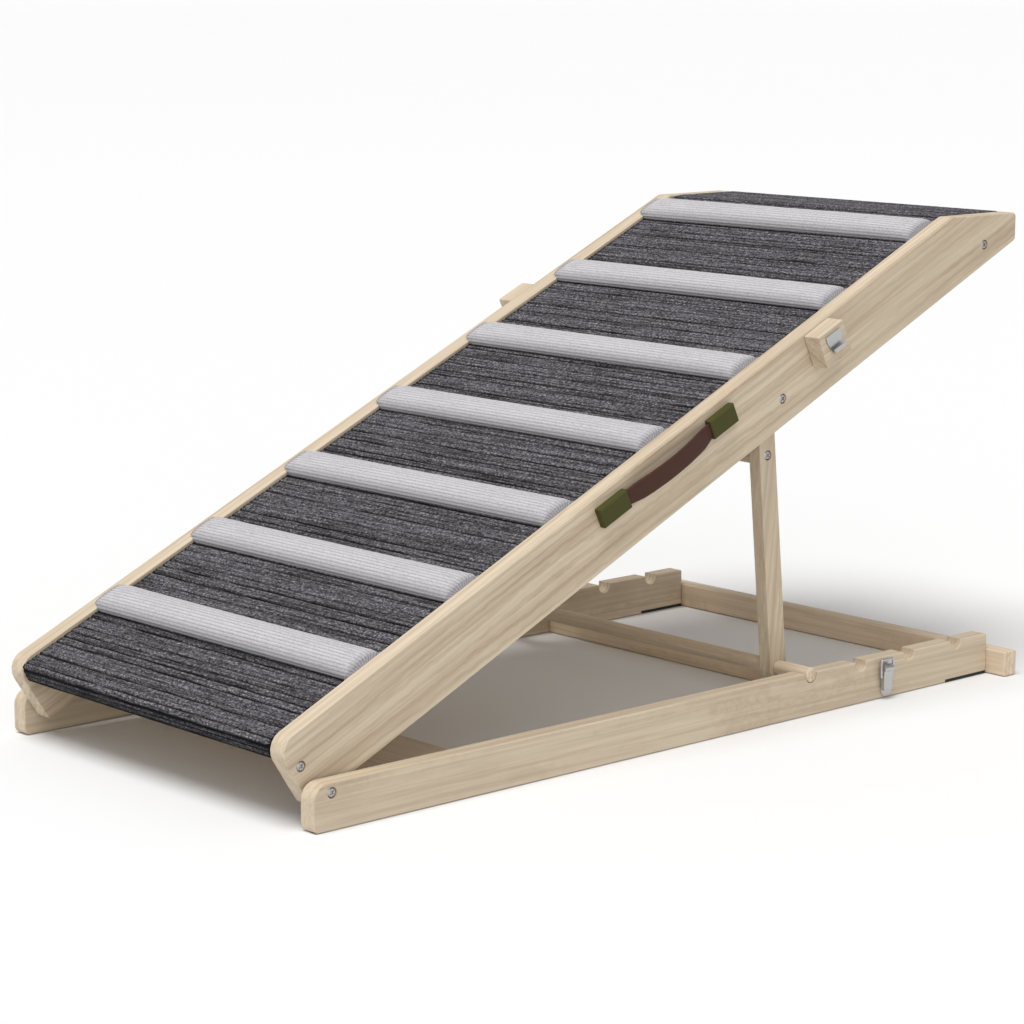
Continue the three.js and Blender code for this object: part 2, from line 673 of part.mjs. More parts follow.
Object.keys(SIDES).forEach((side) => {
  add(`base_rail_${side}`, 'pine', baseRail(side));
  add(`foot_pad_${side}`, 'rubber', footPad(side));
  add(`pivot_bolt_${side}`, 'steel', pivotBolt(side));
  add(`pivot_washer_${side}`, 'steel', pivotWasher(side));
  add(`latch_plate_${side}`, 'steel', latchPlate(side));
  add(`latch_lever_${side}`, 'steel', latchLever(side));
  add(`latch_bail_${side}`, 'steel', latchBail(side));
  add(`ramp_rail_${side}`, 'pine', rampRail(side));
  add(`front_screw_${side}`, 'steel', frontScrew(side));
  add(`top_screw_${side}`, 'steel', topScrew(side));
  add(`keeper_block_${side}`, 'pine', keeperBlock(side));
  add(`keeper_${side}`, 'steel', keeper(side));
  add(`prop_leg_${side}`, 'pine', propLeg(side));
  add(`prop_bolt_${side}`, 'steel', propBolt(side));
  add(`prop_washer_${side}`, 'steel', propWasher(side));
  add(`prop_screw_${side}`, 'steel', propScrew(side));
});

add('rear_cross_bar', 'pine', rearCrossBar());
add('mid_cross_bar', 'pine', crossBoard(MID_BAR));
add('front_cross_board', 'pine', crossBoard(FRONT_BOARD));
add('deck_panel', 'pine', deckPanel());
add('landing_panel', 'pine', landingPanel());
add('deck_rear_bar', 'pine', deckRearBar());
add('carpet', 'carpet', carpet());
for (let order = 0; order < STRIP_COUNT; order += 1) {
  add(`grip_strip_${order + 1}`, 'grip', gripStrip(order));
}
add('handle_cap_front', 'cap', handleCap('front'));
add('handle_cap_rear', 'cap', handleCap('rear'));
add('handle_strap', 'leather', handleStrap());
add('prop_cross_bar', 'pine', propCrossBar());
add('support_dowel', 'pine', supportDowel());

// Origin at the bottom centre of the whole object
const bounds = new THREE.Box3().setFromObject(ramp);
const shift = -(bounds.min.x + bounds.max.x) / 2;
ramp.children.forEach((mesh) => mesh.geometry.translate(shift, 0, 0));

export default ramp;
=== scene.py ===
"""Folding dog ramp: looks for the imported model.

Metres in the scene, millimetres in the named sizes; +Z up, +X to the high end, right side -Y.
"""

import json
import math
import random

import bmesh
import bpy
import numpy as np
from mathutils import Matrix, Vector, noise
from mathutils.bvhtree import BVHTree

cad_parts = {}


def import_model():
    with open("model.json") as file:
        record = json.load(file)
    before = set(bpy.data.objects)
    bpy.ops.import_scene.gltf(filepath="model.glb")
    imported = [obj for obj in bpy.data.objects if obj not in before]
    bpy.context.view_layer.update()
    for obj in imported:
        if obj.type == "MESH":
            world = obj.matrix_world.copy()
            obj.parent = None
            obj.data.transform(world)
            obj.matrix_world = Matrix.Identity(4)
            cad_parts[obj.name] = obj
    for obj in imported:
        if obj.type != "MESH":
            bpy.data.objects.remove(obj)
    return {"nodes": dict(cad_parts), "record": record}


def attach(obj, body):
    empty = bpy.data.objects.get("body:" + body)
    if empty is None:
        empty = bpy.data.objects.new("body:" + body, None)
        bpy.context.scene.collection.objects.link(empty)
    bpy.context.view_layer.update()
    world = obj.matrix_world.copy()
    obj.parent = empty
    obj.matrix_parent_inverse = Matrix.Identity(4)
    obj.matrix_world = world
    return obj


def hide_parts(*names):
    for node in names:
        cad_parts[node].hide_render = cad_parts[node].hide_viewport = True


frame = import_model()
NODES = frame["nodes"]
SLOT_OF = {part["node"]: part["material_slot"] for part in frame["record"]["subparts"]}
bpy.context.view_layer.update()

MM = 0.001

# Ramp frame: s runs up the slope, v stands square to it, as in the CAD
SHIFT = -407.5265
SLOPE = math.radians(24.8)
PIVOT_X, PIVOT_Z = 17.5, 29.2
PIVOT_S, PIVOT_V = 18.8, 9.7
RAIL_OUTER = 186.4
RAIL_DEPTH = 59.3
CARPET_TOP = 57.2
CARPET_HALF = 168.7
LANDING_TOP = 418.8
LANDING_END = 828.6


def world(x, y, z):
    """A point given in CAD millimetres from the base rails' front end."""
    return Vector(((x + SHIFT) * MM, y * MM, z * MM))


def on_ramp(s, y, v):
    """A point given in millimetres in the ramp frame."""
    ds, dv = s - PIVOT_S, v - PIVOT_V
    x = PIVOT_X + ds * math.cos(SLOPE) - dv * math.sin(SLOPE)
    z = PIVOT_Z + ds * math.sin(SLOPE) + dv * math.cos(SLOPE)
    return world(x, y, z)


def share_of(value):
    """The value held between 0 and 1."""
    return min(1.0, max(0.0, value))


# ---- node materials --------------------------------------------------------


class Graph:
    """A node material under construction."""

    def __init__(self, name, **shader):
        self.material = bpy.data.materials.new(name)
        self.material.use_nodes = True
        self.tree = self.material.node_tree
        self.bsdf = self.tree.nodes["Principled BSDF"]
        self.fill(self.bsdf, shader)

    def fill(self, node, values):
        for name, value in values.items():
            node.inputs[name.replace("_", " ")].default_value = value

    def node(self, kind, **inputs):
        made = self.tree.nodes.new(kind)
        self.fill(made, inputs)
        return made

    def link(self, source, target):
        self.tree.links.new(source, target)

    def feed(self, name, source):
        """Drive one of the shader's own inputs."""
        self.link(source, self.bsdf.inputs[name])

    def ramp(self, source, stops):
        """Colours, or plain strengths, picked along the source's value."""
        made = self.tree.nodes.new("ShaderNodeValToRGB")
        elements = made.color_ramp.elements
        while len(elements) < len(stops):
            elements.new(0.5)
        for element, (place, colour) in zip(elements, stops):
            element.position = place
            value = colour if hasattr(colour, "__len__") else (colour,) * 3
            element.color = (*value, 1)
        self.link(source, made.inputs["Fac"])
        return made.outputs["Color"]

    def set_or_link(self, socket, value):
        if isinstance(value, (int, float)):
            socket.default_value = value
        elif hasattr(value, "__len__"):
            socket.default_value = (*value, 1)
        else:
            self.link(value, socket)

    def maths(self, kind, a, b):
        made = self.tree.nodes.new("ShaderNodeMath")
        made.operation = kind
        for socket, value in zip(made.inputs, (a, b)):
            self.set_or_link(socket, value)
        return made.outputs[0]

    def mix(self, factor, a, b, kind="MIX"):
        made = self.tree.nodes.new("ShaderNodeMix")
        made.data_type = "RGBA"
        made.blend_type = kind
        self.set_or_link(made.inputs["Factor"], factor)
        self.set_or_link(made.inputs[6], a)
        self.set_or_link(made.inputs[7], b)
        return made.outputs[2]

    def multiply(self, a, b, factor=1.0):
        return self.mix(factor, a, b, "MULTIPLY")

    def place(self, turn=(0, 0, 0), offset=(0, 0, 0), scale=(1, 1, 1)):
        """Object coordinates, turned, shifted and stretched."""
        source = self.tree.nodes.new("ShaderNodeTexCoord")
        mapping = self.node("ShaderNodeMapping", Location=offset, Rotation=turn, Scale=scale)
        self.link(source.outputs["Object"], mapping.inputs["Vector"])
        return mapping.outputs["Vector"]

    def stretched(self, base, scale):
        mapping = self.node("ShaderNodeMapping", Scale=scale)
        self.link(base, mapping.inputs["Vector"])
        return mapping.outputs["Vector"]

    def cloud(self, base, scale, detail, rough=0.5):
        """Noise stretched by a different amount along each axis."""
        made = self.node("ShaderNodeTexNoise", Scale=1.0, Detail=detail, Roughness=rough)
        self.link(self.stretched(base, scale), made.inputs["Vector"])
        return made.outputs

    def cells(self, base, scale, scatter):
        """Distance from the middle of each of a field of small cells."""
        made = self.node("ShaderNodeTexVoronoi", Scale=1.0, Randomness=scatter)
        self.link(self.stretched(base, scale), made.inputs["Vector"])
        return made.outputs["Distance"]

    def speckle(self, scale, detail):
        return self.node("ShaderNodeTexNoise", Scale=scale, Detail=detail).outputs["Fac"]

    def attribute(self, name):
        made = self.tree.nodes.new("ShaderNodeAttribute")
        made.attribute_name = name
        return made.outputs["Fac"]

    def bump(self, height, strength, distance):
        made = self.node("ShaderNodeBump", Strength=strength, Distance=distance)
        self.link(height, made.inputs["Height"])
        self.feed("Normal", made.outputs["Normal"])


# ---- camera, light, floor --------------------------------------------------

CAMERA_PLACE = (-1314.54, -1893.83, 633.12)
CAMERA_AZIMUTH = 48.154
CAMERA_DIP = 10.31
CAMERA_LENS = 104.43
CAMERA_SENSOR = 36
CAMERA_CLIP = (0.1, 2000)

SKY_STRENGTH = 0.38
KEY_SUN = ((-0.30, -0.05, 0.953), 2.6, 36)
SIDE_SUN = ((-0.55, -0.72, 0.42), 0.66, 50)

FLOOR_RADIUS = 900
FLOOR_SIDES = 96
FLOOR_DROP = 0.0005
FLOOR_DARK = (0.80, 0.80, 0.80)
FLOOR_PALE = (0.82, 0.82, 0.82)


def make_camera():
    data = bpy.data.cameras.new("camera")
    data.sensor_width = CAMERA_SENSOR
    data.lens = CAMERA_LENS
    data.clip_start, data.clip_end = CAMERA_CLIP
    camera = bpy.data.objects.new("camera", data)
    bpy.context.scene.collection.objects.link(camera)
    camera.location = world(*CAMERA_PLACE)
    azimuth, dip = math.radians(CAMERA_AZIMUTH), math.radians(CAMERA_DIP)
    ahead = Vector((
        math.cos(azimuth) * math.cos(dip),
        math.sin(azimuth) * math.cos(dip),
        -math.sin(dip),
    ))
    camera.rotation_mode = "QUATERNION"
    camera.rotation_quaternion = ahead.to_track_quat("-Z", "Y")
    bpy.context.scene.camera = camera


def sun_light(name, towards, strength, spread):
    """A broad soft light from the given direction; spread is its angle in degrees."""
    data = bpy.data.lights.new(name, "SUN")
    data.energy = strength
    data.angle = math.radians(spread)
    light = bpy.data.objects.new(name, data)
    light.rotation_euler = Vector(towards).to_track_quat("Z", "Y").to_euler()
    bpy.context.scene.collection.objects.link(light)


def make_lights():
    scene = bpy.context.scene
    sky = bpy.data.worlds.new("studio")
    sky.use_nodes = True
    background = sky.node_tree.nodes["Background"]
    background.inputs["Color"].default_value = (1, 1, 1, 1)
    background.inputs["Strength"].default_value = SKY_STRENGTH
    scene.world = sky
    scene.view_settings.view_transform = "Standard"
    sun_light("key", *KEY_SUN)
    sun_light("side", *SIDE_SUN)


def make_floor():
    mesh = bpy.data.meshes.new("floor")
    maker = bmesh.new()
    bmesh.ops.create_circle(maker, cap_ends=True, radius=FLOOR_RADIUS, segments=FLOOR_SIDES)
    maker.to_mesh(mesh)
    maker.free()
    floor = bpy.data.objects.new("floor", mesh)
    floor.location.z = -FLOOR_DROP
    bpy.context.scene.collection.objects.link(floor)
    made = Graph("floor", Roughness=0.9)
    made.feed("Base Color", made.ramp(made.speckle(40.0, 3.0), [
        (0.3, FLOOR_DARK), (0.7, FLOOR_PALE),
    ]))
    mesh.materials.append(made.material)


# ---- materials -------------------------------------------------------------

PINE_LIGHT = (0.665, 0.566, 0.430)
PINE_TAN = (0.540, 0.432, 0.303)
PINE_ROSE = (0.490, 0.380, 0.275)
PINE_LINE = (0.415, 0.308, 0.207)

STEEL_BRUSHED = ((0.60, 0.60, 0.605), 0.36)
STEEL_HEADS = ((0.50, 0.50, 0.50), 0.34)


def growth_bands(made, base, pitch_scale):
    """Soft growth bands that wander as they run along the board."""
    wander = made.cloud(base, (2.0, 15.0, 15.0), 2.0)
    shifted = made.tree.nodes.new("ShaderNodeVectorMath")
    shifted.operation = "MULTIPLY_ADD"
    shifted.inputs[1].default_value = (0.0, 0.024, 0.024)
    made.link(wander["Color"], shifted.inputs[0])
    made.link(base, shifted.inputs[2])
    wave = made.node(
        "ShaderNodeTexWave", Scale=pitch_scale, Distortion=1.6, Detail=2.0, Detail_Scale=1.4,
    )
    wave.wave_type = "RINGS"
    wave.rings_direction = "X"
    wave.wave_profile = "SIN"
    made.link(shifted.outputs[0], wave.inputs["Vector"])
    return wave.outputs["Fac"]


def pine(name, turn, seed, tone):
    """Clear pine, its grain along local X after the turn; tone lightens the whole board, painted
    light for boards lying in shade.
    """
    dice = random.Random(seed)
    made = Graph(name)
    offset = (dice.uniform(-2, 2), dice.uniform(-0.02, 0.02), dice.uniform(-0.05, -0.03))
    base = made.place(turn, offset)
    broad = made.ramp(growth_bands(made, base, dice.uniform(17, 22)), [
        (0.15, PINE_LIGHT), (0.62, PINE_TAN), (0.95, PINE_ROSE),
    ])
    fine = made.ramp(growth_bands(made, base, dice.uniform(58, 70)), [
        (0.45, PINE_LIGHT), (0.82, PINE_TAN), (0.97, PINE_LINE), (1.0, PINE_TAN),
    ])
    bands = made.mix(0.45, broad, fine)
    drift = made.cloud(base, (2.2, 26.0, 26.0), 3.0)
    fade = made.ramp(drift["Fac"], [(0.36, 0.0), (0.66, 0.80)])
    calm = made.mix(fade, bands, PINE_LIGHT)
    tint = made.ramp(drift["Color"], [(0.3, (1.0, 0.990, 0.965)), (0.7, (0.965, 0.945, 0.935))])
    toned = made.multiply(calm, tint)
    streaks = made.cloud(base, (5.0, 230.0, 230.0), 4.0, 0.62)
    streak = made.ramp(streaks["Fac"], [(0.36, (0.82, 0.785, 0.750)), (0.56, (1.0, 1.0, 1.0))])
    streaked = made.multiply(toned, streak, 0.75)
    fibre = made.cloud(base, (16.0, 900.0, 900.0), 3.0, 0.6)["Fac"]
    board = made.multiply(streaked, made.ramp(fibre, [(0.34, 0.91), (0.62, 1.0)]))
    # tone: painted light lifting boards that lie in shade.
    made.feed("Base Color", made.multiply(board, (tone, tone, tone)))
    made.feed("Roughness", made.ramp(fibre, [(0.3, 0.64), (0.7, 0.52)]))
    made.bump(fibre, 0.12, 0.0004)
    return made.material


def steel(name, base, rough):
    """Bright steel with fine brushing and a little uneven tarnish."""
    made = Graph(name, Metallic=1.0)
    brushing = made.node("ShaderNodeTexNoise", Scale=1.0, Detail=4.0)
    made.link(made.place(scale=(900, 2600, 300)), brushing.inputs["Vector"])
    scratch = brushing.outputs["Fac"]
    made.feed("Roughness", made.ramp(scratch, [(0.3, rough - 0.06), (0.7, rough + 0.10)]))
    dulled = tuple(c * 0.84 for c in base)
    made.feed("Base Color", made.ramp(made.speckle(160.0, 2.0), [(0.3, dulled), (0.7, base)]))
    made.bump(scratch, 0.06, 0.0002)
    return made.material


def rubber():
    """Near-black green rubber."""
    made = Graph("rubber", Roughness=0.75)
    speck = made.speckle(900.0, 2.0)
    made.feed("Base Color", made.ramp(speck, [
        (0.3, (0.008, 0.016, 0.011)), (0.7, (0.018, 0.034, 0.023)),
    ]))
    made.bump(speck, 0.2, 0.0003)
    return made.material


def moulded_cap():
    """Satin olive plastic with a fine moulded grain."""
    made = Graph("cap", Specular_IOR_Level=0.12)
    grain = made.speckle(1400.0, 2.0)
    made.feed("Base Color", made.ramp(made.speckle(60.0, 2.0), [
        (0.3, (0.056, 0.056, 0.015)), (0.7, (0.068, 0.067, 0.019)),
    ]))
    made.feed("Roughness", made.ramp(grain, [(0.3, 0.36), (0.7, 0.5)]))
    made.bump(grain, 0.12, 0.0002)
    return made.material


def leather():
    """Dark red-brown leather with a pebbled surface."""
    made = Graph("leather", Specular_IOR_Level=0.14)
    pebbles = made.node("ShaderNodeTexVoronoi", Scale=900.0)
    pebbles.feature = "DISTANCE_TO_EDGE"
    drift = made.speckle(70.0, 3.0)
    made.feed("Base Color", made.ramp(drift, [
        (0.3, (0.060, 0.025, 0.018)), (0.7, (0.078, 0.033, 0.024)),
    ]))
    made.feed("Roughness", made.ramp(drift, [(0.3, 0.46), (0.7, 0.6)]))
    made.bump(made.ramp(pebbles.outputs["Distance"], [(0.0, 0.0), (0.25, 1.0)]), 0.25, 0.0003)
    return made.material


def carpet_cloth():
    """Charcoal loop pile in rows across the ramp, with paler flecks; painted shade darkens the
    grooves, the front face, the side edges and the pile along each grip strip's front edge.
    """
    made = Graph("carpet", Roughness=0.95, Specular_IOR_Level=0.12)
    base = made.place(turn=(0, SLOPE, 0))
    loops = made.cells(base, (480.0, 260.0, 480.0), 0.85)
    fleck = made.cloud(base, (900.0, 470.0, 900.0), 3.0, 0.66)["Fac"]
    yarn = made.ramp(fleck, [
        (0.35, (0.030, 0.028, 0.034)), (0.46, (0.135, 0.128, 0.143)),
        (0.57, (0.265, 0.254, 0.276)), (0.68, (0.50, 0.485, 0.515)),
    ])
    rows = made.cloud(base, (520.0, 11.0, 520.0), 2.0, 0.6)["Fac"]
    rowed = made.multiply(yarn, made.ramp(rows, [(0.36, 0.40), (0.50, 0.88), (0.64, 1.14)]))
    lit = made.multiply(rowed, made.ramp(loops, [(0.1, 1.0), (0.75, 0.42)]))
    # Painted shade from the stored share: grooves, front face, side edges and grip-strip contact.
    depth = made.ramp(made.attribute("painted_shade"), [
        (0.0, 1.06), (0.30, 0.68), (0.50, 0.38), (0.74, 0.04),
    ])
    made.feed("Base Color", made.multiply(lit, depth))
    made.bump(made.maths("ADD", made.maths("SUBTRACT", 1.0, loops), fleck), 0.7, 0.0012)
    return made.material


def strip_cloth():
    """Pale lilac-grey ribbed upholstery cloth, with painted shade in the rib valleys, along its
    front and back edges and towards its ends.
    """
    made = Graph(
        "grip", Roughness=0.88, Specular_IOR_Level=0.2, Sheen_Weight=0.25, Sheen_Roughness=0.5,
    )
    base = made.place(turn=(0, SLOPE, 0))
    weave = made.cells(base, (980.0, 430.0, 980.0), 0.6)
    tone = made.ramp(made.speckle(30.0, 4.0), [
        (0.3, (0.580, 0.556, 0.588)), (0.7, (0.635, 0.612, 0.642)),
    ])
    cloth = made.multiply(tone, made.ramp(weave, [(0.15, 1.0), (0.75, 0.70)]))
    # Painted shade in the rib valleys.
    depth = made.ramp(made.attribute("painted_shade"), [(0.0, 1.0), (0.5, 0.90), (1.0, 0.56)])
    ribbed = made.multiply(cloth, depth)
    # Painted shade along the front and back edges and towards the ends.
    shade = made.ramp(made.attribute("edge_shade"), [(0.0, 1.0), (0.45, 0.78), (0.8, 0.50), (1.0, 0.18)])
    made.feed("Base Color", made.multiply(ribbed, shade))
    made.bump(made.maths("SUBTRACT", 1.0, weave), 0.3, 0.0004)
    return made.material


# ---- painting the CAD nodes ------------------------------------------------

LEG_LEAN = 5.3
ALONG_X = (0, 0, 0)
ALONG_Y = (0, 0, math.radians(-90))
ALONG_RAMP = (0, SLOPE, 0)
ALONG_LEG = (0, math.radians(90 - LEG_LEAN), 0)

PINE_GRAIN = {
    "base_rail": ALONG_X,
    "ramp_rail": ALONG_RAMP,
    "keeper_block": ALONG_RAMP,
    "prop_leg": ALONG_LEG,
    "rear_cross_bar": ALONG_Y,
    "mid_cross_bar": ALONG_Y,
    "front_cross_board": ALONG_Y,
    "deck_panel": ALONG_RAMP,
    "landing_panel": ALONG_Y,
    "deck_rear_bar": ALONG_Y,
    "prop_cross_bar": ALONG_Y,
    "support_dowel": ALONG_Y,
}

# Painted light: these boards lie in the shade under the ramp and are made lighter to offset it.
PINE_SHADE_LIFT = {
    "mid_cross_bar": 1.3,
    "rear_cross_bar": 1.22,
    "front_cross_board": 1.2,
    "support_dowel": 1.1,
}

FIRST_PINE_SEED = 40

WELD_REACH = 0.00001
SPLIT_ANGLE = 36
FACE_WEIGHT = 96


def set_material(name, material):
    piece = NODES[name]
    if not piece.material_slots:
        piece.data.materials.append(material)
    for slot in piece.material_slots:
        slot.material = material


def crisp_edges(piece):
    """Broad faces shade flat and only the eased edges between them shade round."""
    weld = piece.modifiers.new("weld", "WELD")
    weld.merge_threshold = WELD_REACH
    split = piece.modifiers.new("split", "EDGE_SPLIT")
    split.split_angle = math.radians(SPLIT_ANGLE)
    weighted = piece.modifiers.new("weighted", "WEIGHTED_NORMAL")
    weighted.mode = "FACE_AREA"
    weighted.weight = FACE_WEIGHT


def pine_for(name, seed):
    stem = name.rsplit("_", 1)[0] if name.endswith(("_right", "_left")) else name
    return pine(f"pine_{name}", PINE_GRAIN[stem], seed, PINE_SHADE_LIFT.get(stem, 1.0))


def paint_cad():
    plain = {"rubber": rubber(), "cap": moulded_cap(), "leather": leather()}
    brushed = steel("steel", *STEEL_BRUSHED)
    heads = steel("steel_heads", *STEEL_HEADS)
    for order, name in enumerate(sorted(NODES)):
        slot = SLOT_OF[name]
        if slot == "pine":
            set_material(name, pine_for(name, FIRST_PINE_SEED + order))
        elif slot == "steel":
            set_material(name, heads if "screw" in name or "bolt" in name else brushed)
        elif slot in plain:
            set_material(name, plain[slot])
        crisp_edges(NODES[name])


# ---- mesh helpers ----------------------------------------------------------


def new_object(name, vertices, faces, material, body):
    """A smooth-shaded piece that rides on the given body."""
    mesh = bpy.data.meshes.new(name)
    mesh.from_pydata([tuple(v) for v in vertices], [], faces)
    mesh.update()
    maker = bmesh.new()
    maker.from_mesh(mesh)
    bmesh.ops.recalc_face_normals(maker, faces=maker.faces)
    maker.to_mesh(mesh)
    maker.free()
    mesh.polygons.foreach_set("use_smooth", [True] * len(mesh.polygons))
    mesh.materials.append(material)
    made = bpy.data.objects.new(name, mesh)
    bpy.context.scene.collection.objects.link(made)
    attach(made, body)
    return made


def store(mesh, name, values):
    attribute = mesh.attributes.new(name, "FLOAT", "POINT")
    attribute.data.foreach_set("value", np.asarray(values, np.float32))


def tube_faces(ring, count):
    """Faces of a closed tube of count stretches, ring points round, with both ends capped."""
    faces = []
    for i in range(count):
        for j in range(ring):
            k = (j + 1) % ring
            faces.append((i * ring + j, i * ring + k, (i + 1) * ring + k, (i + 1) * ring + j))
    faces.append(tuple(range(ring - 1, -1, -1)))
    faces.append(tuple(range(count * ring, (count + 1) * ring)))
    return faces


# ---- carpet ----------------------------------------------------------------

CARPET_PITCH = 0.85
CARPET_COLUMNS = 72
CARPET_THICK = 3.3
CARPET_FRONT = 4.4
CARPET_NOSE = 4.5
CARPET_FRONT_HEM = 42.2
CARPET_BACK_HEM = 405.4
LANDING_BEND = 26.0
LANDING_CORNER = 3.6

RIB_PITCH = 4.3
DEEP_EVERY = (2, 3, 4, 5)
DEEP_GROOVE = (1.0, 1.6)
SHALLOW_GROOVE = (0.35, 0.80)
FULL_GROOVE = 1.5
GROOVE_WIDTH = 0.75
GROOVE_WIDENS = 0.45
GROOVE_FALL = 1.4
GROOVE_UNEVEN = 0.60
GROOVE_MEAN = 0.85
WANDER_BROAD = 0.55
WANDER_FINE = 0.25
GROOVE_SEED = 11
PITCH_SPREAD = (0.82, 1.2)
EDGE_DROP = 0.8
EDGE_REACH = 0.6
RAGGED = 0.9
RAGGED_OUT = 0.15
PILE_LIFT = 0.18

# Painted shade on the carpet's front face, over the first FRONT_WRAP mm of its path.
FRONT_WRAP = 13.5
FRONT_WRAP_SHADE = 0.40
# Painted contact shadow on the carpet at each grip strip's front edge: its reach in mm and its
# share.
TUCK_REACH = 2.4
TUCK_SHADE = 0.75


def arc(centre, radius, start, end, steps):
    """Points and outward normals along an arc in the X-Z plane, angles in degrees."""
    out = []
    for k in range(steps + 1):
        angle = math.radians(start + (end - start) * k / steps)
        normal = (math.cos(angle), math.sin(angle))
        out.append(((centre[0] + radius * normal[0], centre[1] + radius * normal[1]), normal))
    return out


def straight(a, b, normal):
    """Points about one carpet pitch apart from a to b in the X-Z plane, with their normal."""
    steps = max(1, round(math.dist(a, b) / CARPET_PITCH))
    return [
        ((a[0] + (b[0] - a[0]) * k / steps, a[1] + (b[1] - a[1]) * k / steps), normal)
        for k in range(steps + 1)
    ]


def flat_point(s, v):
    """Ramp coordinates to CAD X and Z in millimetres."""
    point = on_ramp(s, 0, v)
    return (point.x / MM - SHIFT, point.z / MM)


def slope_place(x, z):
    """Distance up the slope of a CAD point."""
    return PIVOT_S + (x - PIVOT_X) * math.cos(SLOPE) + (z - PIVOT_Z) * math.sin(SLOPE)


def carpet_slope():
    """The skin from the front hem, round the nose and up the slope to where the bend starts."""
    tilt = math.degrees(SLOPE)
    front_normal = (-math.cos(SLOPE), -math.sin(SLOPE))
    slope_normal = (-math.sin(SLOPE), math.cos(SLOPE))
    nose_v, nose_s = CARPET_TOP - CARPET_NOSE, CARPET_FRONT + CARPET_NOSE
    hem = flat_point(CARPET_FRONT, CARPET_FRONT_HEM)
    bend = (LANDING_TOP - flat_point(0, CARPET_TOP)[1]) / math.sin(SLOPE)
    turn = flat_point(bend - LANDING_BEND * math.tan(SLOPE / 2), CARPET_TOP)
    path = straight(hem, flat_point(CARPET_FRONT, nose_v), front_normal)
    path += arc(flat_point(nose_s, nose_v), CARPET_NOSE, 180 + tilt, 90 + tilt, 6)[1:]
    path += straight(flat_point(nose_s, CARPET_TOP), turn, slope_normal)[1:]
    return path


def carpet_path():
    """The top skin: round the front edge, up the slope, along the landing, down the back."""
    tilt = math.degrees(SLOPE)
    path = carpet_slope()
    turn, (normal_x, normal_z) = path[-1]
    centre = (turn[0] - normal_x * LANDING_BEND, turn[1] - normal_z * LANDING_BEND)
    rim, fall = LANDING_END - LANDING_CORNER, LANDING_TOP - LANDING_CORNER
    path += arc(centre, LANDING_BEND, 90 + tilt, 90, 12)[1:]
    path += straight((centre[0], LANDING_TOP), (rim, LANDING_TOP), (0, 1))[1:]
    path += arc((rim, fall), LANDING_CORNER, 90, 0, 6)[1:]
    path += straight((LANDING_END, fall), (LANDING_END, CARPET_BACK_HEM), (1, 0))[1:]
    return path


def groove_table(length):
    """Groove places along the carpet, each with its depth in millimetres."""
    dice = random.Random(GROOVE_SEED)
    grooves = []
    at = 1.0
    run = 0
    while at < length:
        run += 1
        deep = run >= dice.choice(DEEP_EVERY)
        if deep:
            run = 0
        grooves.append((at, dice.uniform(*(DEEP_GROOVE if deep else SHALLOW_GROOVE))))
        at += RIB_PITCH * dice.uniform(*PITCH_SPREAD)
    return grooves


def groove_profile(distance, depth):
    width = GROOVE_WIDTH + GROOVE_WIDENS * depth
    t = abs(distance) / width
    return depth * math.exp(-t * t * GROOVE_FALL)


def groove_drop(grooves, length, y):
    """How deep the grooves are here, and the number of the neighbouring entry in the table of
    grooves.
    """
    wander = WANDER_BROAD * noise.noise(Vector((y * 0.035, length * 0.02, 3.0)))
    wander += WANDER_FINE * noise.noise(Vector((y * 0.16, length * 0.05, 9.0)))
    place = length + wander
    near = int(np.searchsorted([at for at, _ in grooves], place))
    beside = grooves[max(0, near - 2):near + 2]
    drop = max((groove_profile(place - at, depth) for at, depth in beside), default=0.0)
    uneven = GROOVE_UNEVEN * noise.noise(Vector((y * 0.030, near * 1.7, 5.0)))
    return drop * (GROOVE_MEAN + uneven), near


def tuck_shade(s):
    """Painted contact shadow on the carpet, strongest at each grip strip's front edge and fading
    within TUCK_REACH.
    """
    nearest = min((start + STRIP_SETBACK - s for start in strip_starts()), key=abs)
    return TUCK_SHADE * max(0.0, 1 - abs(nearest) / TUCK_REACH)


def carpet_row(place, normal, length, shade, grooves):
    """One row of skin points across the carpet, with its painted shade share at each: deeper in
    the grooves is darker, plus the given shade.
    """
    points, shade_levels = [], []
    for j in range(CARPET_COLUMNS + 1):
        y = -CARPET_HALF + 2 * CARPET_HALF * j / CARPET_COLUMNS
        drop, near = groove_drop(grooves, length, y)
        pile = PILE_LIFT * noise.noise(Vector((y * 0.25, length * 0.5, 7.0)))
        if j in (0, CARPET_COLUMNS):
            ragged = RAGGED * noise.noise(Vector((near * 2.3, j * 1.0, 2.0))) - RAGGED_OUT
            y += math.copysign(EDGE_REACH, -y) * ragged
            # The edge sinks, and the extra drop also darkens it as painted shade beside the rail.
            drop += EDGE_DROP
        sink = drop - pile
        points.append(world(place[0] - normal[0] * sink, y, place[1] - normal[1] * sink))
        shade_levels.append(min(1.0, drop / FULL_GROOVE + shade))
    return points, shade_levels


def carpet_faces(rows):
    """Skin, underside and the four edges of the carpet; underside points follow the skin's."""
    across = CARPET_COLUMNS
    row = across + 1
    under = rows * row
    faces = []
    for i in range(rows - 1):
        for j in range(across):
            a = i * row + j
            faces.append((a, a + 1, a + row + 1, a + row))
        low = under + 2 * i
        faces.append((low, low + 2, low + 3, low + 1))
        faces.append((i * row, (i + 1) * row, low + 2, low))
        faces.append((i * row + across, low + 1, low + 3, (i + 1) * row + across))
    faces.append((*range(across, -1, -1), under, under + 1))
    last = (rows - 1) * row
    faces.append((*range(last, last + row), under + 2 * rows - 1, under + 2 * rows - 2))
    return faces


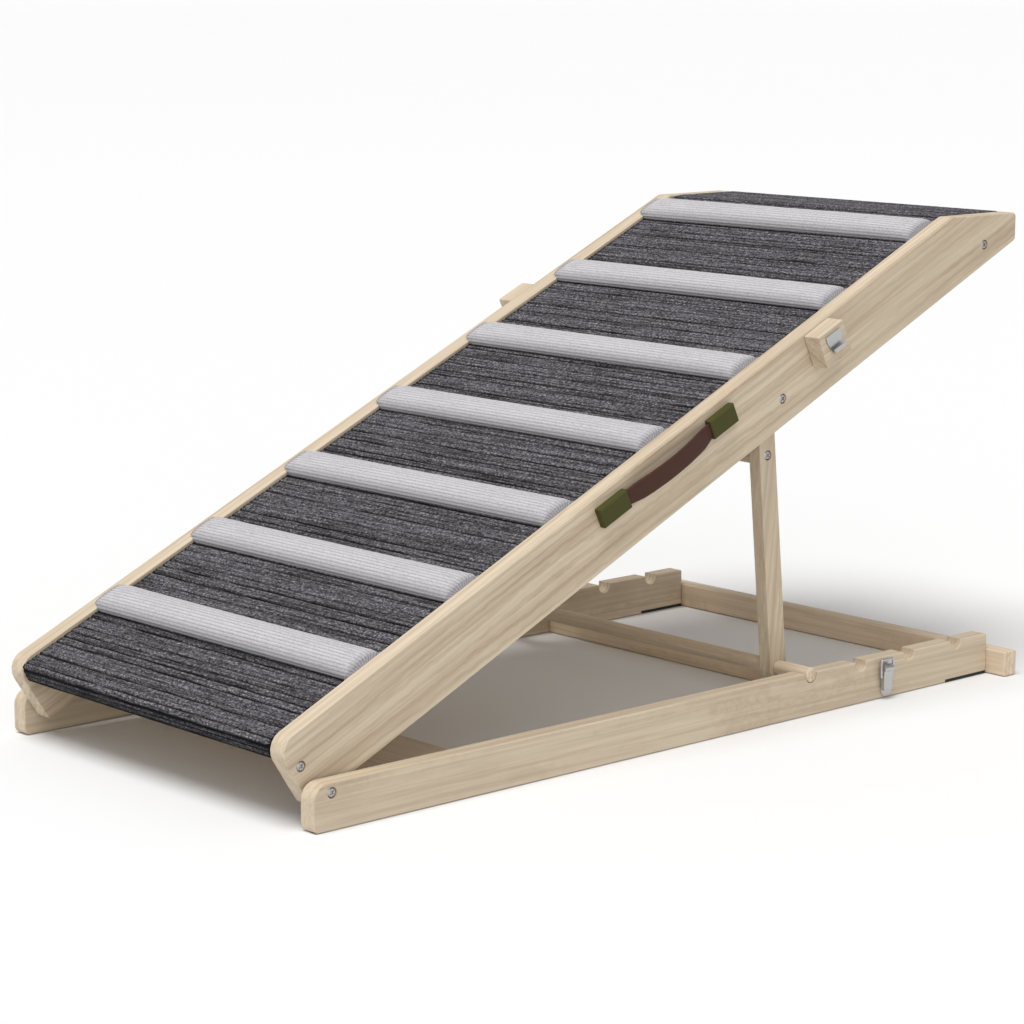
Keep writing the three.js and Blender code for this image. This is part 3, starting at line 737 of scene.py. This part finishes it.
def build_carpet(material):
    path = carpet_path()
    lengths = [0.0]
    for (a, _), (b, _) in zip(path, path[1:]):
        lengths.append(lengths[-1] + math.dist(a, b))
    grooves = groove_table(lengths[-1])
    vertices, shade_levels = [], []
    for (place, normal), length in zip(path, lengths):
        # Painted shade: on the front face, then the contact shadow at each grip strip.
        shade = FRONT_WRAP_SHADE if length < FRONT_WRAP else tuck_shade(slope_place(*place))
        row_points, row_shade_levels = carpet_row(place, normal, length, shade, grooves)
        vertices += row_points
        shade_levels += row_shade_levels
    for (x, z), (normal_x, normal_z) in path:
        for y in (-CARPET_HALF, CARPET_HALF):
            vertices.append(world(x - normal_x * CARPET_THICK, y, z - normal_z * CARPET_THICK))
            shade_levels.append(1.0)
    made = new_object("carpet_pile", vertices, carpet_faces(len(path)), material, "ramp")
    store(made.data, "painted_shade", shade_levels)
    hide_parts("carpet")


# ---- grip strips -----------------------------------------------------------

STRIP_COUNT = 7
STRIP_FIRST = 87
STRIP_PITCH = 108.9
STRIP_SPREAD = 1.45
STRIP_SETBACK = 1.0
STRIP_SEAT = 55.8
STRIP_WIDTH = 40.5
STRIP_HEIGHT = 9.2
SECTION_SIDES = 0.86
SECTION_TOP = 0.84
SECTION_STEPS = 240
END_ROUNDING = 2.6
STRIP_HALF = 168.6

# Length of the rounded end in millimetres, and the share of the height left at its tip
RIGHT_END = (12.0, 0.25)
LEFT_END = (5.0, 0.88)

RIBS = 14
RIB_STEPS = 6
RIB_DEPTH = 0.42
RIB_REST = 0.25
CREASE = 0.10
CREASE_SCALE = (0.05, 3)
STRIP_ROWS = 150
ROWS_TO_ENDS = 1.25
STRIP_SPILL = 0.8
FIRST_STRIP_SEED = 300
FORM_SEEDS = (5, 8)

# Painted shade on the strips: reach from the front and back edges as shares of the width, reach
# from the right and left ends in mm, and the share at the ends.
EDGE_SHADE_FRONT = 0.36
EDGE_SHADE_BACK = 0.15
EDGE_SHADE_RIGHT = 10.0
EDGE_SHADE_LEFT = 3.0
EDGE_SHADE_END = 0.85

OVERHANG = 6.0
OVERHANG_REACH = 9.0
OVERHANG_CLEAR = 0.4
OVERHANG_RISE = 2.0

BLANK_RINGS = 14
BLANK_LENGTH = 60
BLANK_INSET = 1.5
BLANK_NARROW = 0.96
BLANK_LOW = 0.91
BLANK_UNDER = 0.0015
BLANK_EDGE = 0.001
BLANK_VOXEL = 0.003
BLANK_JITTER = 0.00012
HELD_BELOW = 0.0006
SWELL_STEPS = 20
SWELL_LIMIT = 0.0022
SKIN_RIGHT = 1.8
SKIN_LEFT = 3.5
CORE_SPREAD = 0.55
RAY_REACH = 0.03


def strip_starts():
    return [STRIP_FIRST + STRIP_PITCH * k + STRIP_SPREAD * k * k for k in range(STRIP_COUNT)]


def strip_section(t, lift):
    """Across the strip at share t from its front edge: place and height in millimetres."""
    angle = math.pi * (1 - t)
    x = math.cos(angle)
    across = STRIP_WIDTH * (0.5 + 0.5 * math.copysign(abs(x) ** SECTION_SIDES, x))
    height = max(0.0, math.sin(angle)) ** SECTION_TOP
    return across, STRIP_HEIGHT * height * lift


def even_section(columns, lift):
    """The section at columns + 1 places evenly spaced along its own length."""
    points = [strip_section(j / SECTION_STEPS, lift) for j in range(SECTION_STEPS + 1)]
    run = np.concatenate([[0.0], np.cumsum([math.dist(a, b) for a, b in zip(points, points[1:])])])
    wanted = np.linspace(0, run[-1], columns + 1)
    across = np.interp(wanted, run, [p[0] for p in points])
    up = np.interp(wanted, run, [p[1] for p in points])
    return list(zip(across, up))


def strip_lift(y):
    """Share of the full height at this place across the ramp, less near the strip's ends."""
    length, least = RIGHT_END if y < 0 else LEFT_END
    inset = STRIP_HALF - abs(y)
    if inset >= length:
        return 1.0
    return least + (1 - least) * math.sqrt(max(0.0, 1 - (1 - inset / length) ** END_ROUNDING))


def edge_shade_share(t, y):
    """Painted shade share: 1 at the strip's front and back edges, fading to 0 up its sides, and
    rising towards its ends.
    """
    front = max(0.0, 1 - t / EDGE_SHADE_FRONT)
    back = max(0.0, 1 - (1 - t) / EDGE_SHADE_BACK)
    reach = EDGE_SHADE_RIGHT if y < 0 else EDGE_SHADE_LEFT
    end = EDGE_SHADE_END * max(0.0, 1 - (STRIP_HALF - abs(y)) / reach)
    return min(1.0, max(front, back, end))


def overhang(y, height):
    """How far the left end spreads over the rail's top edge, above that edge only."""
    near = share_of(1 - (STRIP_HALF - y) / OVERHANG_REACH)
    above = STRIP_SEAT + height - RAIL_DEPTH - OVERHANG_CLEAR
    return OVERHANG * near * math.sqrt(share_of(above / OVERHANG_RISE))


def strip_blank():
    """A slightly small closed strip, lying flat at the origin, ready to be swelled."""
    vertices = []
    for i in range(BLANK_LENGTH + 1):
        y = (STRIP_HALF - BLANK_INSET) * (-1 + 2 * i / BLANK_LENGTH)
        section = [strip_section(j / BLANK_RINGS, strip_lift(y)) for j in range(BLANK_RINGS + 1)]
        for across, up in section:
            x = across * BLANK_NARROW * MM + BLANK_EDGE
            vertices.append((x, y * MM, up * BLANK_LOW * MM))
        for across, _ in reversed(section[1:-1]):
            vertices.append((across * BLANK_NARROW * MM + BLANK_EDGE, y * MM, -BLANK_UNDER))
    mesh = bpy.data.meshes.new("soft_form")
    mesh.from_pydata(vertices, [], tube_faces(2 * BLANK_RINGS, BLANK_LENGTH))
    made = bpy.data.objects.new("soft_form", mesh)
    bpy.context.scene.collection.objects.link(made)
    bpy.context.view_layer.objects.active = made
    made.select_set(True)
    remesh = made.modifiers.new("remesh", "REMESH")
    remesh.mode = "VOXEL"
    remesh.voxel_size = BLANK_VOXEL
    bpy.ops.object.modifier_apply(modifier="remesh")
    return made


def add_cloth(made):
    """Thin padded cloth under pressure, held along the strip's underside."""
    held = made.vertex_groups.new(name="held")
    held.add([v.index for v in made.data.vertices if v.co.z < HELD_BELOW], 1.0, "REPLACE")
    cloth = made.modifiers.new("cloth", "CLOTH")
    settings = cloth.settings
    settings.quality = 6
    settings.mass = 0.3
    settings.tension_stiffness = settings.compression_stiffness = 18
    settings.shear_stiffness = 8
    settings.bending_stiffness = 0.6
    settings.use_pressure = True
    settings.uniform_pressure_force = 4.0
    settings.effector_weights.gravity = 0
    settings.vertex_group_mass = "held"
    return cloth


def soft_form(seed):
    """A padded strip, lying flat at the origin, swelled by cloth simulation."""
    dice = random.Random(seed)
    made = strip_blank()
    for vertex in made.data.vertices:
        vertex.co.z += dice.uniform(-BLANK_JITTER, BLANK_JITTER)
    rest = [v.co.copy() for v in made.data.vertices]
    cloth = add_cloth(made)
    scene = bpy.context.scene
    for step in range(1, SWELL_STEPS + 1):
        scene.frame_set(step)
    graph = bpy.context.evaluated_depsgraph_get()
    moved = [v.co.copy() for v in made.evaluated_get(graph).data.vertices]
    made.modifiers.remove(cloth)
    for vertex, start, end in zip(made.data.vertices, rest, moved):
        step = end - start
        if step.length > SWELL_LIMIT:
            step *= SWELL_LIMIT / step.length
        vertex.co = start + step
    scene.frame_set(1)
    return made


def form_tree(seed):
    form = soft_form(seed)
    graph = bpy.context.evaluated_depsgraph_get()
    tree = BVHTree.FromObject(form, graph)
    bpy.data.objects.remove(form)
    return tree


def skin_point(tree, across, up, y):
    """The point of the swollen skin on the ray from the strip's core through this point."""
    target = Vector((across * MM, y * MM, up * MM))
    if tree is None:
        return target
    core = Vector((STRIP_WIDTH / 2 * MM, y * MM, 0.0))
    core.x += (across - STRIP_WIDTH / 2) * CORE_SPREAD * MM
    ray = (target - core).normalized()
    hit, _, _, _ = tree.ray_cast(core, ray, RAY_REACH)
    return hit if hit is not None else target


def grid_normals(points, row, rows):
    """Upward normals of a grid of points, from the directions to their neighbours."""
    array = np.array(points).reshape(rows, row, 3)
    along = np.gradient(array, axis=0)
    across = np.gradient(array, axis=1)
    normal = np.cross(across, along)
    size = np.linalg.norm(normal, axis=2, keepdims=True)
    normal = normal / np.maximum(size, 1e-12)
    normal[normal[..., 2] < 0] *= -1
    return [Vector(n) for n in normal.reshape(-1, 3)]


def strip_skin(tree, phase):
    """Points of the swollen skin, with the rib valley, the crease and the painted edge shade at
    each.
    """
    columns = RIBS * RIB_STEPS
    points, valleys, creases, edge_shades = [], [], [], []
    right, left = -STRIP_HALF + SKIN_RIGHT, STRIP_HALF - SKIN_LEFT
    for i in range(STRIP_ROWS + 1):
        share = -1 + 2 * i / STRIP_ROWS
        y = STRIP_HALF * math.copysign(1 - (1 - abs(share)) ** ROWS_TO_ENDS, share)
        for j, (across, up) in enumerate(even_section(columns, strip_lift(y))):
            t = j / columns
            point = skin_point(tree, across, up, min(max(y, right), left))
            point.y = y * MM
            ripple = 0.5 - 0.5 * math.cos(2 * math.pi * t * RIBS)
            points.append(point)
            valleys.append((1 - ripple) ** 3 * min(1.0, j / 4, (columns - j) / 4))
            fold = Vector((y * CREASE_SCALE[0], t * CREASE_SCALE[1], phase))
            creases.append(CREASE * noise.noise(fold))
            edge_shades.append(edge_shade_share(t, y))
    return points, valleys, creases, edge_shades


def strip_faces():
    """The skin, the flat underside closing it, and both ends."""
    columns = RIBS * RIB_STEPS
    row = columns + 1
    faces = []
    for i in range(STRIP_ROWS):
        for j in range(columns):
            a = i * row + j
            faces.append((a, a + 1, a + row + 1, a + row))
        faces.append((i * row + columns, i * row, (i + 1) * row, (i + 1) * row + columns))
    faces.append(tuple(range(columns, -1, -1)))
    faces.append(tuple(range(STRIP_ROWS * row, (STRIP_ROWS + 1) * row)))
    return faces


def build_strip(order, start, tree, material):
    """One strip: the swollen skin carried onto a ribbed grid, its ribs running across the ramp."""
    phase = random.Random(FIRST_STRIP_SEED + order).uniform(0, 10)
    points, valleys, creases, edge_shades = strip_skin(tree, phase)
    normals = grid_normals(points, RIBS * RIB_STEPS + 1, STRIP_ROWS + 1)
    vertices = []
    for point, valley, crease, normal in zip(points, valleys, creases, normals):
        shaped = point + normal * (RIB_DEPTH * (RIB_REST - valley) + crease) * MM
        shaped.z = max(shaped.z, 0.0)
        shaped.x = min(max(shaped.x, 0.0), (STRIP_WIDTH + STRIP_SPILL) * MM)
        s = start + STRIP_SETBACK + shaped.x / MM
        y, height = shaped.y / MM, shaped.z / MM
        vertices.append(on_ramp(s, y + overhang(y, height), STRIP_SEAT + height))
    made = new_object(f"grip_pad_{order + 1}", vertices, strip_faces(), material, "ramp")
    store(made.data, "painted_shade", valleys)
    store(made.data, "edge_shade", edge_shades)
    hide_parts(f"grip_strip_{order + 1}")


def build_strips(material):
    trees = [form_tree(seed) for seed in FORM_SEEDS]
    for order, start in enumerate(strip_starts()):
        build_strip(order, start, trees[order % len(trees)], material)


# ---- carrying strap --------------------------------------------------------

CAP_GAP = (386.0, 491.5)
STRAP_TUCK = 10.5
STRAP_V = (43.0, 44.5)
STRAP_OUT = 3.7
STRAP_BOW = 7.4
STRAP_HALF_THICK = 1.05
STRAP_THIN_EDGE = 0.55
STRAP_WAVER = 0.12
STRAP_NARROW = 13.6
STRAP_WIDE = 16.6
STRAP_WIDENS = (0.6, 15.4)
STRAP_STEPS = 96
STRAP_SIDES = 10


def strap_outline():
    """The strap's section: share of the half width, and of the half thickness, at each point."""
    section = []
    for j in range(STRAP_SIDES + 1):
        t = -1 + 2 * j / STRAP_SIDES
        section.append((t, 1.0 - STRAP_THIN_EDGE * abs(t) ** 6))
    return section + [(t, -crown) for t, crown in reversed(section)]


def strap_half_width(s):
    """Narrow where it enters a cap, widening to full width a little way out of it."""
    outside = min(s - CAP_GAP[0], CAP_GAP[1] - s)
    share = share_of((outside - STRAP_WIDENS[0]) / STRAP_WIDENS[1])
    share = share * share * (3 - 2 * share)
    half = (STRAP_NARROW + (STRAP_WIDE - STRAP_NARROW) * share) / 2
    return half + STRAP_WAVER * noise.noise(Vector((s * 0.06, 1.0, 4.0)))


def build_strap(material):
    """A flat leather strap, tucked into both caps and bowed clear of the rail."""
    start, end = CAP_GAP[0] - STRAP_TUCK, CAP_GAP[1] + STRAP_TUCK
    outline = strap_outline()
    vertices = []
    for k in range(STRAP_STEPS + 1):
        s = start + (end - start) * k / STRAP_STEPS
        free = share_of((s - CAP_GAP[0] - 0.5) / (CAP_GAP[1] - CAP_GAP[0] - 1))
        y = -(RAIL_OUTER + STRAP_OUT + STRAP_BOW * 4 * free * (1 - free))
        v = STRAP_V[0] + (STRAP_V[1] - STRAP_V[0]) * k / STRAP_STEPS
        half = strap_half_width(s)
        for t, crown in outline:
            vertices.append(on_ramp(s, y - STRAP_HALF_THICK * crown, v + half * t))
    faces = tube_faces(len(outline), STRAP_STEPS)
    made = new_object("carry_strap", vertices, faces, material, "ramp")
    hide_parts("handle_strap")


# ---- assembly --------------------------------------------------------------

make_camera()
make_lights()
make_floor()
paint_cad()
build_carpet(carpet_cloth())
build_strips(strip_cloth())
build_strap(leather())
